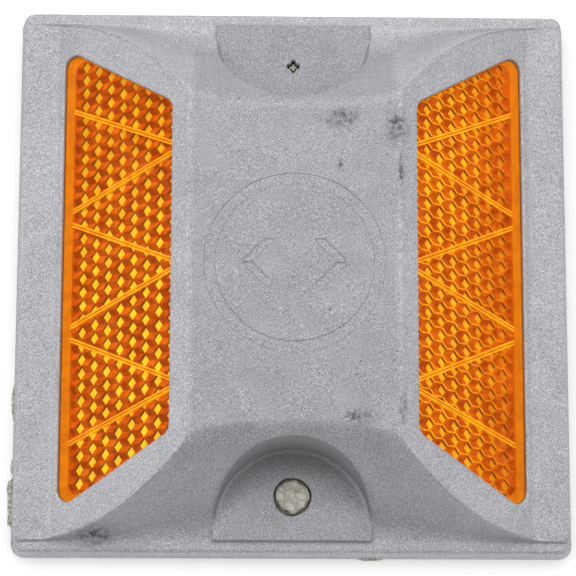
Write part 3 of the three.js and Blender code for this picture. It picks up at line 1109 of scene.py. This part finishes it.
    def sunk_ring(self) -> Solid:
        """A cutter for the shallow ring in the plateau, with soft edges."""
        inner, outer, deep = self.ring_inner, self.ring_outer, self.ring_depth
        edge = [
            (inner - 0.08, 0.05),
            (inner, -0.03),
            (inner + 0.1, -deep),
            (outer - 0.1, -deep),
            (outer, -0.03),
            (outer + 0.08, 0.05),
            (outer + 0.08, 0.6),
            (inner - 0.08, 0.6),
        ]
        return turned(np.array(edge) + [0, self.stud.height])

    def arrows(self) -> list[Solid]:
        """Cutters for the strokes of two shallow arrow heads that point at the reflectors."""
        tip, half, stroke = self.arrow_tip, self.arrow_half, self.arrow_stroke
        h = self.stud.height
        strokes = np.array([[tip, 0], [tip - half, half], [tip - half - stroke, half], [tip - stroke, 0]])
        cutters = []
        for way in (1, -1):
            for leg in (1, -1):
                corners = strokes * [way, leg]
                outline = Outline(corners if way * leg > 0 else corners[::-1], 0.3)
                levels = ((0.15, -0.15), (0.0, -0.03), (-0.08, 0.05), (-0.08, 0.6))
                rings = [at_height(outline.inset([inset] * 4).points(3), h + z) for inset, z in levels]
                cutters.append(loft(rings))
        return cutters

    def hole(self, radius: np.ndarray, y: float) -> Solid:
        """A cutter for an uneven hole through a pocket's floor, with a softened rim."""
        floor = self.stud.pocket_floor
        rim = ((0, floor - 0.3), (0.06, floor - 0.12), (0.2, floor - 0.02), (0.4, floor + 0.05))
        levels = ((0, -1.0), *rim, (0.4, 9))
        return loft([at_height(circle(0, y, radius + out, len(radius)), z) for out, z in levels])

    def mark(self, body: bpy.types.Object) -> None:
        """Marks each vertex with how dull the metal is and where painted shade darkens it.

        The plateau is darker, partly a duller finish and partly painted shade beside the brighter border, and
        the floor of each pocket darker again in the same two ways. The south hollow, the south pocket's wall,
        the floor at its foot and the step in front of each pocket's floor take painted shade, and so do the
        lower east and west walls. Dark smudges lie at the plateau's corners.

        Args:
            body: the finished casting.
        """
        x, y, z = vertex_places(body).T
        stud = self.stud
        # Plateau darker: partly a duller finish, partly painted shade beside the brighter border
        inside = smoothstep(np.abs(x), stud.plateau_half - 0.2, stud.plateau_half - 1.2)
        top = inside * smoothstep(z, 6.0, 9.0)
        # Painted shade on the lower east and west outer walls
        wall = smoothstep(np.abs(x), 49.15, 49.35) * smoothstep(z, 4.4, 3.6)
        smudges_and_wall_shade = np.maximum.reduce([smudge.strength(x, y) for smudge in SMUDGES])
        from_pocket = np.hypot(x, np.abs(y) - stud.pocket_centre)
        # Each pocket's floor darker: partly a duller finish, partly painted shade down in the pocket
        floor = smoothstep(from_pocket, stud.pocket_radius + 0.6, stud.pocket_radius)
        floor = floor * smoothstep(z, 5.6, 5.3)
        floor = floor * smoothstep(np.abs(y), stud.pocket_front, stud.pocket_front - 0.2)
        # Painted shade on the pockets' walls; only the south pocket's is used
        pocket_wall_shade = smoothstep(np.abs(from_pocket - stud.pocket_radius - 0.4), 0.9, 0.6) * smoothstep(z, 5.2, 6.4)
        toward = np.clip(1 - (np.abs(y) - stud.pocket_centre + stud.pocket_radius) / stud.pocket_radius, 0, 1)
        south = smoothstep(-y, 20.0, 24.0)
        # Painted shadow on the south pocket's floor at the foot of its wall on the plateau side
        foot = floor * south * toward * smoothstep(from_pocket, stud.pocket_radius - 9, stud.pocket_radius)
        # Painted shade: a dark line along the step in front of each pocket's floor
        front = np.exp(-(((np.abs(y) - stud.half + stud.pocket_front_inset) / 0.35) ** 2))
        front = front * smoothstep(np.abs(x), stud.pocket_radius + 0.8, stud.pocket_radius - 0.2)
        # Painted shade on the south hollow, darker where it falls more steeply
        grade = np.abs(stud.fallen(x, np.abs(y) + 0.2) - stud.fallen(x, np.abs(y) - 0.2)) / 0.4
        shaded = smoothstep(grade, 0.15, 1.0) * south * smoothstep(z, 4.0, 5.5)
        floors_dull_and_shaded = (2.0 - 0.9 * south) * floor + 4.0 * foot
        parts = (1.4 * top, floors_dull_and_shaded, 2.7 * pocket_wall_shade * south, 1.9 * shaded, 2.5 * front)
        set_attribute(body, "dullness_and_shade", np.maximum.reduce(parts))
        set_attribute(body, "smudges_and_wall_shade", np.maximum(smudges_and_wall_shade, 0.9 * wall))

    def build(self) -> bpy.types.Object:
        """The casting, cut to shape, with its finish."""
        stud, lens = self.stud, self.lens
        body = self.block().object("casting")
        work(body, Join.KEEP, [self.envelope()])
        work(body, Join.ADD, [self.pad(1), self.pad(-1)])
        work(body, Join.CUT, [self.pocket(1), self.pocket(-1), self.sunk_ring(), *self.arrows()])
        work(body, Join.CUT, [self.room(0.0, -1.0)])
        for side in Side:
            frame_of = lens.frame(side)
            seat = opening(lens.outline(-lens.gap), -lens.seat_depth, lens.recess, 8.0, 0.4)
            under = lens.outline(lens.flange_width - 0.3, lens.flange_width_outer - 0.3).points()
            through = loft([at_height(under, -lens.opening_depth), at_height(under, 0.0)])
            work(body, Join.CUT, [seat.placed(frame_of), through.placed(frame_of)])
        angle = np.arange(64) * math.tau / 64
        pour = self.pour_radius + 0.05 * np.sin(3 * angle + 1) + 0.03 * np.sin(7 * angle)
        vent = self.vent_radius * (0.8 + 0.2 * np.cos(4 * angle)) + 0.05 * np.sin(11 * angle)
        place = stud.half - stud.hole_inset
        work(body, Join.CUT, [self.hole(pour, -place), self.hole(vent, place)])
        self.mark(body)
        shade(body, 40, 1.5)
        dress(body, [self.metal.make()])
        hand_over(body, "cast_housing", "housing_shell")
        return body


# ---- the reflectors -------------------------------------------------------------------------------
class Facet(Enum):
    """The kinds of surface on a reflector's plate, as the numbers of their finish slots."""

    # From BRIGHT to WALL: one amber painted with the prisms' reflections and shade
    BRIGHT = 0
    DEEP = 1
    MID = 2
    DARK = 3
    SEAM = 4
    WALL = 5
    FLANGE = 6
    WELD = 7
    WELD_CORE = 8


@dataclass(frozen=True)
class PrismCells:
    """A field of corner-shaped cells on a slope, each six-sided in plan with three facets.

    A cell's middle is its deepest point below the slope. Three of its corners are at twice the height
    of the other three, as the corners of a cube that stands on its point. Cells sit in columns, and
    every other column is half a cell further along.
    """

    pitch: float = 2.45
    stretch: float = 1.093
    relief: float = 0.55
    shrink: float = 0.95
    bright_share: float = 0.76

    def sheet(self, columns: int, rows: int, plane: float, slope: float, deep: float, base: float) -> Solid:
        """The field as a closed solid: a heightfield of cells over a flat bottom that follows the slope.

        Args:
            columns: how many columns of cells.
            rows: how many cells in each column.
            plane: height of the lens plane at the field's middle.
            slope: how far the lens plane falls for each millimetre outwards.
            deep: how far each cell's middle is below the plane.
            base: how far the solid's flat bottom is below the plane.

        Returns:
            The solid in plan coordinates around the field's middle, with its facets' slots.
        """
        w = self.pitch
        column, row = np.meshgrid(np.arange(columns), np.arange(rows), indexing="ij")
        middle_x = (column - (columns - 1) / 2) * w * math.sqrt(0.75) * self.stretch
        middle_y = (row - (rows - 1) / 2 + 0.5 * (column % 2) - 0.25) * w
        angle = np.arange(6) * math.pi / 3
        around = np.stack([np.cos(angle) * self.stretch, np.sin(angle)], axis=1)
        corner = w / math.sqrt(3) * self.shrink * around
        low = self.relief * w / math.sqrt(6)
        rise = np.where(np.arange(6) % 2 == 0, 2 * low, low)
        split = [corner[5] * self.bright_share, corner[1] + (corner[0] - corner[1]) * self.bright_share]
        local = np.vstack([[0, 0], corner, split])
        lift = np.concatenate([[0], rise, [low * self.bright_share, low * (1 + self.bright_share)]])
        x = middle_x[..., None] + local[:, 0]
        y = middle_y[..., None] + local[:, 1]
        z = plane - slope * x - deep + lift
        verts = np.stack([x, y, z], axis=-1).reshape(-1, 3)
        faces, slots = self.joined((column * rows + row) * len(local))
        count = len(verts)
        flat = verts.copy()
        flat[:, 2] = plane - slope * verts[:, 0] - base
        below = [[v + count for v in face[::-1]] for face in faces]
        edges = np.array([pair for face in faces for pair in zip(face, [*face[1:], face[0]])])
        forth, back = edges[:, 0] * count + edges[:, 1], edges[:, 1] * count + edges[:, 0]
        rim = edges[~np.isin(forth, back)]
        skirt = np.stack([rim[:, 1], rim[:, 0], rim[:, 0] + count, rim[:, 1] + count], axis=1)
        slots += [Facet.DEEP.value] * (len(below) + len(skirt))
        return Solid(np.concatenate([verts, flat]), faces + below + skirt.tolist(), np.array(slots))

    @staticmethod
    def joined(first: np.ndarray) -> tuple[list, list]:
        """The cells' facets, with strips between neighbours and a triangle where three cells meet.

        Args:
            first: the number of each cell's first vertex, by column and row. Its vertices are its
                middle, its six corners from the outward one on, and two on the facet that is split.

        Returns:
            The faces and their slots.
        """
        faces: list = []
        slots: list = []

        def put(corners: list[np.ndarray], facet: Facet) -> None:
            """Adds one face for each entry of the corner arrays, all of one kind."""
            made = np.stack(corners, axis=1)
            faces.extend(made.tolist())
            slots.extend([facet.value] * len(made))

        f = first.ravel()
        # Painted light: the bright part of the split facet is a reflection, the sliver beside it shade, and
        # the deep and mid facets shade of the same amber
        put([f, f + 7, f + 8, f + 2], Facet.BRIGHT)
        put([f + 7, f + 6, f + 1, f + 8], Facet.DARK)
        put([f, f + 2, f + 3, f + 4], Facet.DEEP)
        put([f, f + 4, f + 5, f + 6, f + 7], Facet.MID)
        columns, rows = first.shape
        c, r = np.meshgrid(np.arange(columns), np.arange(rows), indexing="ij")
        odd = c % 2
        ways = {1: (c, r + 1), 0: (c + 1, r + odd), 5: (c + 1, r + odd - 1)}
        exists = {k: (nc < columns) & (nr < rows) & (nr >= 0) for k, (nc, nr) in ways.items()}

        def pick(good: np.ndarray, way: int | None = None) -> np.ndarray:
            """First vertices of the cells where good holds, or of their neighbours on one side."""
            nc, nr = (c, r) if way is None else ways[way]
            return first[nc[good], nr[good]]

        for k, facet in ((1, Facet.SEAM), (0, Facet.WALL), (5, Facet.SEAM)):
            a, b = pick(exists[k]), pick(exists[k], k)
            put([a + 1 + (k + 1) % 6, a + 1 + k, b + 1 + (k + 4) % 6, b + 1 + (k + 3) % 6], facet)
        right = exists[0] & exists[5]
        put([pick(right) + 1, pick(right, 5) + 3, pick(right, 0) + 5], Facet.WALL)
        up = exists[0] & exists[1]
        put([pick(up) + 2, pick(up, 0) + 4, pick(up, 1) + 6], Facet.WALL)
        return faces, slots


@dataclass
class Reflector:
    """One amber reflector: a moulded prism plate with weld lines, under its own polished front."""

    side: Side
    lens: LensShape
    cells: PrismCells = field(default_factory=PrismCells)
    column_shift: float = 0.78
    front_depth: float = 0.2
    plate_top: float = 0.26
    weld_pairs: int = 3
    weld_pitch: float = 21.0
    weld_spread: float = 9.3
    weld_point_gap: float = 0.8
    weld_width: float = 0.85
    weld_core: float = 0.22
    cell_depth: float = 1.25
    columns: int = 13
    rows: int = 38

    def finishes(self) -> list[Amber]:
        """The facet finishes in slot order, the cells' in painted reflection and shade tones."""
        # The bright facets are a painted reflection that grows lighter towards one end; the other cell
        # colours are painted shade, and the east lens's seams a painted highlight
        if self.side is Side.WEST:
            colours = [
                ((0.78, 0.44, 0.01, 1), (1.0, 0.86, 0.04, 1), ("Y", 28.0, -10.0)),
                ((0.56, 0.075, 0.002, 1), (0.8, 0.17, 0.003, 1)),
                ((0.34, 0.05, 0.002, 1), (0.55, 0.1, 0.002, 1)),
                ((0.12, 0.05, 0.003, 1), (0.24, 0.09, 0.004, 1)),
                ((0.3, 0.035, 0.002, 1), (0.7, 0.19, 0.004, 1)),
                ((0.28, 0.033, 0.002, 1), (0.55, 0.1, 0.003, 1)),
            ]
        else:
            colours = [
                ((0.7, 0.17, 0.003, 1), (1.0, 0.68, 0.02, 1), ("X", 39.0, 28.0)),
                ((0.5, 0.075, 0.002, 1), (0.74, 0.15, 0.003, 1)),
                ((0.46, 0.065, 0.002, 1), (0.72, 0.15, 0.003, 1)),
                ((0.24, 0.04, 0.003, 1), (0.4, 0.09, 0.004, 1)),
                ((0.64, 0.15, 0.002, 1), (1.0, 0.56, 0.014, 1), ("X", 41.0, 27.0)),
                ((0.54, 0.11, 0.002, 1), (0.8, 0.22, 0.004, 1)),
            ]
        colours += [
            ((0.7, 0.19, 0.002, 1), (0.82, 0.25, 0.003, 1)),
            ((0.95, 0.42, 0.008, 1), (1.0, 0.6, 0.014, 1)),
            ((0.55, 0.11, 0.002, 1), (0.75, 0.19, 0.003, 1)),
        ]
        names = [f"amber_{facet.name.lower()}_{self.side.word}" for facet in Facet]
        return [Amber(name, *tones) for name, tones in zip(names, colours)]

    def welds(self, width: float, low: float, high: float) -> list[Solid]:
        """The straight weld lines: V-shaped pairs that spread from near the plateau to the border side.

        Args:
            width: of each line.
            low: its bottom in the tilted frame.
            high: its top.

        Returns:
            One solid a line, trimmed at the field's two long sides.
        """
        corners = self.lens.field(-0.03).corners
        left, right = corners[0, 0], corners[1, 0]
        rise = self.weld_spread - self.weld_point_gap
        made = []
        for i in range(self.weld_pairs):
            pair = (i - (self.weld_pairs - 1) / 2) * self.weld_pitch
            for way in (1, -1):
                a = np.array([left, pair + way * self.weld_point_gap])
                b = np.array([right, pair + way * (self.weld_point_gap + rise)])
                half = width / 2 * math.hypot(right - left, rise) / (right - left)
                line = np.array([a - [0, half], b - [0, half], b + [0, half], a + [0, half]])
                made.append(loft([at_height(line, low), at_height(line, high)]))
        return made

    def plate(self) -> bpy.types.Object:
        """The moulded plate: a flat rim with the cells and the weld lines inside it."""
        lens = self.lens
        east = lens.frame(Side.EAST)
        cosine = math.cos(lens.stud.face_angle)
        materials = [finish.make() for finish in self.finishes()]
        deep, base = self.cell_depth / cosine, lens.depth / cosine
        sheet = self.cells.sheet(self.columns, self.rows, east[2, 3], lens.stud.slope, deep, base)
        shift = np.array([east[0, 3] + self.column_shift, 0, -self.column_shift * lens.stud.slope])
        moved = Solid(sheet.verts + shift, sheet.faces, sheet.slots)
        if self.side is Side.EAST:
            moved = moved.placed(np.diag([1.0, -1.0, 1.0, 1.0]))
        relief = moved.object("relief")
        dress(relief, materials)
        keep = loft([at_height(lens.field().points(), z) for z in (-lens.depth - 1.0, 2.0)])
        work(relief, Join.KEEP, [keep.placed(east)], Facet.DEEP.value)
        strips = ((Facet.WELD, self.weld_width, 0.0), (Facet.WELD_CORE, self.weld_core, 0.03))
        for facet, width, top in strips:
            lines = self.welds(width, -lens.depth + 0.1, top - self.plate_top)
            work(relief, Join.ADD, [line.placed(east) for line in lines], facet.value)
        rings = [(0.02, -lens.depth), (0.02, -self.plate_top - 0.05), (0.06, -self.plate_top)]
        rim = loft([at_height(lens.outline(inset).points(), z) for inset, z in rings])
        body = Solid(rim.verts, rim.faces, np.full(len(rim.faces), Facet.FLANGE.value)).placed(east)
        plate = body.object("prism_plate_" + self.side.word)
        dress(plate, materials)
        pit = loft([at_height(lens.field(0.05).points(), z) for z in (-lens.depth - 0.5, 1.0)])
        work(plate, Join.CUT, [pit.placed(east)], Facet.FLANGE.value)
        work(plate, Join.ADD, [solid_of(relief)])
        if self.side is Side.WEST:
            plate.data.transform(Matrix.Rotation(math.pi, 4, "Z"))
        shade(plate, 12)
        hand_over(plate, "amber_lens", "lens_" + self.side.word)
        return plate

    def front(self) -> bpy.types.Object:
        """The polished front, a thin clear plate with softened edges."""
        levels = ((0.03, -self.front_depth), (0.0, -0.1), (0.03, -0.03), (0.1, 0.0))
        rings = [at_height(self.lens.outline(inset).points(), z) for inset, z in levels]
        cover = loft(rings).placed(self.lens.frame(self.side)).object("lens_front_" + self.side.word)
        shade(cover, 30)
        dress(cover, [ClearFront().make()])
        hand_over(cover, "amber_lens", "lens_" + self.side.word)
        return cover


# ---- the filler -----------------------------------------------------------------------------------
def pebble(place: tuple, size: tuple, seed: int, rings: int = 9, sides: int = 16) -> Solid:
    """A lump: a flattened ball whose radius wanders with random waves.

    Args:
        place: of its middle.
        size: half its size along X, Y and Z.
        seed: of its waves.
        rings: of points from bottom to top.
        sides: points in each ring.

    Returns:
        The lump.
    """
    turn = np.arange(sides) * math.tau / sides
    made = []
    for tilt in np.linspace(-1.45, 1.45, rings):
        wander = 1 + 0.16 * waves(3 * np.cos(turn), 3 * np.sin(turn) + 2 * tilt, 5.0, seed)
        flat = math.cos(tilt) * wander
        xyz = np.column_stack([flat * np.cos(turn), flat * np.sin(turn), np.full(sides, math.sin(tilt))])
        made.append(xyz * size + place)
    return loft(made)


@dataclass
class Filler:
    """The potting under the casting, with its plugs in the two holes and the flash at the base's edge."""

    casting: Casting
    gap: float = 0.15
    potting: Potting = field(default_factory=Potting)

    def plug(self, y: float, reach: float, top: float, lobes: float, seed: int) -> Solid:
        """A plug with an uneven outline and a domed top.

        Args:
            y: its place.
            reach: its mean radius.
            top: its highest point.
            lobes: how uneven its outline is.
            seed: of the unevenness.

        Returns:
            The plug.
        """
        turn = np.arange(72) * math.tau / 72
        wander = 1 + lobes * waves(4 * np.cos(turn), 4 * np.sin(turn), 6.0, seed, 6)
        rings = [at_height(circle(0, y, reach * wander, 72), 1.0)]
        for tilt in np.radians([0, 25, 50, 70, 85]):
            shape = reach * (0.8 + 0.2 * math.cos(tilt)) * (wander if tilt < 1 else 1 + (wander - 1) * 0.7)
            rings.append(at_height(circle(0, y, shape, 72), top - 0.5 + 0.5 * math.sin(tilt)))
        rings.append(at_height(circle(0, y, reach * 0.3, 72), top + 0.05))
        return loft(rings)

    def build(self) -> bpy.types.Object:
        """The filler as one piece, with its resin and stains marked for the finish."""
        stud = self.casting.stud
        place = stud.half - stud.hole_inset
        body = self.casting.room(self.gap, 0.0).object("filler")
        bed = self.casting.pour_radius - 0.12
        turn = np.arange(64) * math.tau / 64
        basin = loft([at_height(circle(0, -place, bed, 64), z) for z in (1.0, 4.15)])
        work(body, Join.ADD, [basin, self.plug(-place, 2.9, 5.06, 0.06, 11)])
        stem = 0.5 + 0.14 * np.cos(4 * turn)
        work(body, Join.ADD, [loft([at_height(circle(0, place, stem, 64), z) for z in (1.0, 4.4)])])
        at = vertex_places(body)
        from_pour = np.hypot(at[:, 0], at[:, 1] + place)
        from_vent = np.hypot(at[:, 0], at[:, 1] - place)
        high = at[:, 2] > 3.0
        set_attribute(body, "resin", (high & (np.minimum(from_pour, from_vent) < 4)).astype(float))
        set_attribute(body, "stain", (high & (from_pour < 4) & (at[:, 2] < 4.4)).astype(float) * 0.8)
        shade(body, 35)
        dress(body, [self.potting.make()])
        hand_over(body, "filler", "filler_block")
        return body

    def flash(self) -> bpy.types.Object:
        """Lumps of filler squeezed out under the casting's edge."""
        lumps = [
            pebble((-50.0, -40.5, 0.45), (0.75, 4.2, 0.45), 1),
            pebble((-50.2, -37.8, 0.55), (0.7, 1.6, 0.55), 2),
            pebble((-49.9, -22.5, 0.35), (0.5, 3.2, 0.35), 3),
            pebble((-49.95, -33.8, 0.3), (0.45, 1.2, 0.3), 4),
            pebble((14.0, -50.0, 0.25), (2.4, 0.35, 0.25), 5),
        ]
        verts = np.concatenate([lump.verts for lump in lumps])
        shift = np.cumsum([0] + [len(lump.verts) for lump in lumps[:-1]])
        faces = [[v + int(by) for v in face] for lump, by in zip(lumps, shift) for face in lump.faces]
        body = Solid(verts, faces).object("filler_flash")
        shade(body, 60)
        dress(body, [self.potting.make()])
        hand_over(body, "filler", "filler_block")
        return body


# ---- the studio -----------------------------------------------------------------------------------
@dataclass
class Studio:
    """A plain pale floor, a pale sky, soft lamps and the camera."""

    floor_half: float = 1.5
    sky: float = 0.6

    def floor(self) -> None:
        """The floor: one large level sheet just under the stud."""
        xs = np.linspace(-self.floor_half, self.floor_half, 5) / MM
        x, y = np.meshgrid(xs, xs)
        sheet = slab(xs, xs, np.full(x.shape, -0.02), np.full(x.shape, -5.0)).object("floor")
        tree = Tree("pale_floor")
        white = (0.95, 0.95, 0.95, 1)
        tree.surface(Base_Color=white, Roughness=0.9, Emission_Color=white, Emission_Strength=0.16)
        dress(sheet, [tree.material])

    def lamp(self, name: str, place: tuple, size: float, power: float) -> None:
        """A square soft lamp that faces the stud.

        Args:
            name: of the lamp.
            place: in metres.
            size: of its side.
            power: in watts.
        """
        light = bpy.data.lights.new(name, "AREA")
        light.shape, light.size, light.energy = "SQUARE", size, power
        lamp = bpy.data.objects.new(name, light)
        lamp.location = place
        lamp.rotation_euler = (-Vector(place)).to_track_quat("-Z", "Y").to_euler()
        bpy.context.scene.collection.objects.link(lamp)

    def camera(self) -> None:
        """The camera, above the stud and a little to its south-west."""
        lens = bpy.data.cameras.new("camera")
        lens.lens, lens.sensor_width, lens.clip_start = 145.6, 36.0, 0.01
        eye = bpy.data.objects.new("camera", lens)
        turn = Matrix.Rotation(math.radians(10.57), 4, "X") @ Matrix.Rotation(math.radians(-1.14), 4, "Y")
        turn = turn @ Matrix.Rotation(math.radians(0.36), 4, "Z")
        eye.matrix_world = Matrix.Translation((-0.0092, -0.0787, 0.4169)) @ turn
        bpy.context.scene.collection.objects.link(eye)
        bpy.context.scene.camera = eye

    def build(self) -> None:
        """Everything but the stud."""
        self.camera()
        self.floor()
        world = bpy.data.worlds.new("sky")
        world.use_nodes = True
        back = world.node_tree.nodes["Background"]
        back.inputs["Color"].default_value = (1.0, 1.0, 1.0, 1.0)
        back.inputs["Strength"].default_value = self.sky
        bpy.context.scene.world = world
        bpy.context.scene.view_settings.view_transform = "Standard"
        self.lamp("north_lamp", (0.0, 1.0, 1.15), 1.6, 10.8)
        self.lamp("east_lamp", (1.1, 0.1, 0.9), 1.1, 3.4)
        self.lamp("west_lamp", (-1.1, 0.1, 0.9), 1.1, 4.8)


def main() -> None:
    """Builds the stud, its finishes and the studio, in order."""
    logging.basicConfig(level=logging.INFO)
    Studio().build()
    stud = StudShape()
    lens = LensShape(stud)
    casting = Casting(stud, lens)
    casting.build()
    filler = Filler(casting)
    filler.build()
    filler.flash()
    backing = Plain("backing_plate", (0.5, 0.36, 0.16, 1), (0.68, 0.5, 0.24, 1), 0.5).make()
    glue = Plain("adhesive_bead", (0.16, 0.15, 0.13, 1), (0.3, 0.28, 0.24, 1), 0.6).make()
    for side in Side:
        cells = PrismCells(shrink=0.9, bright_share=0.66) if side is Side.EAST else PrismCells()
        reflector = Reflector(side, lens, cells)
        reflector.plate()
        reflector.front()
        dress(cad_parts["lens_backing_" + side.word], [backing])
        dress(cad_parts["lens_adhesive_" + side.word], [glue])


if __name__ == "__main__":
    main()
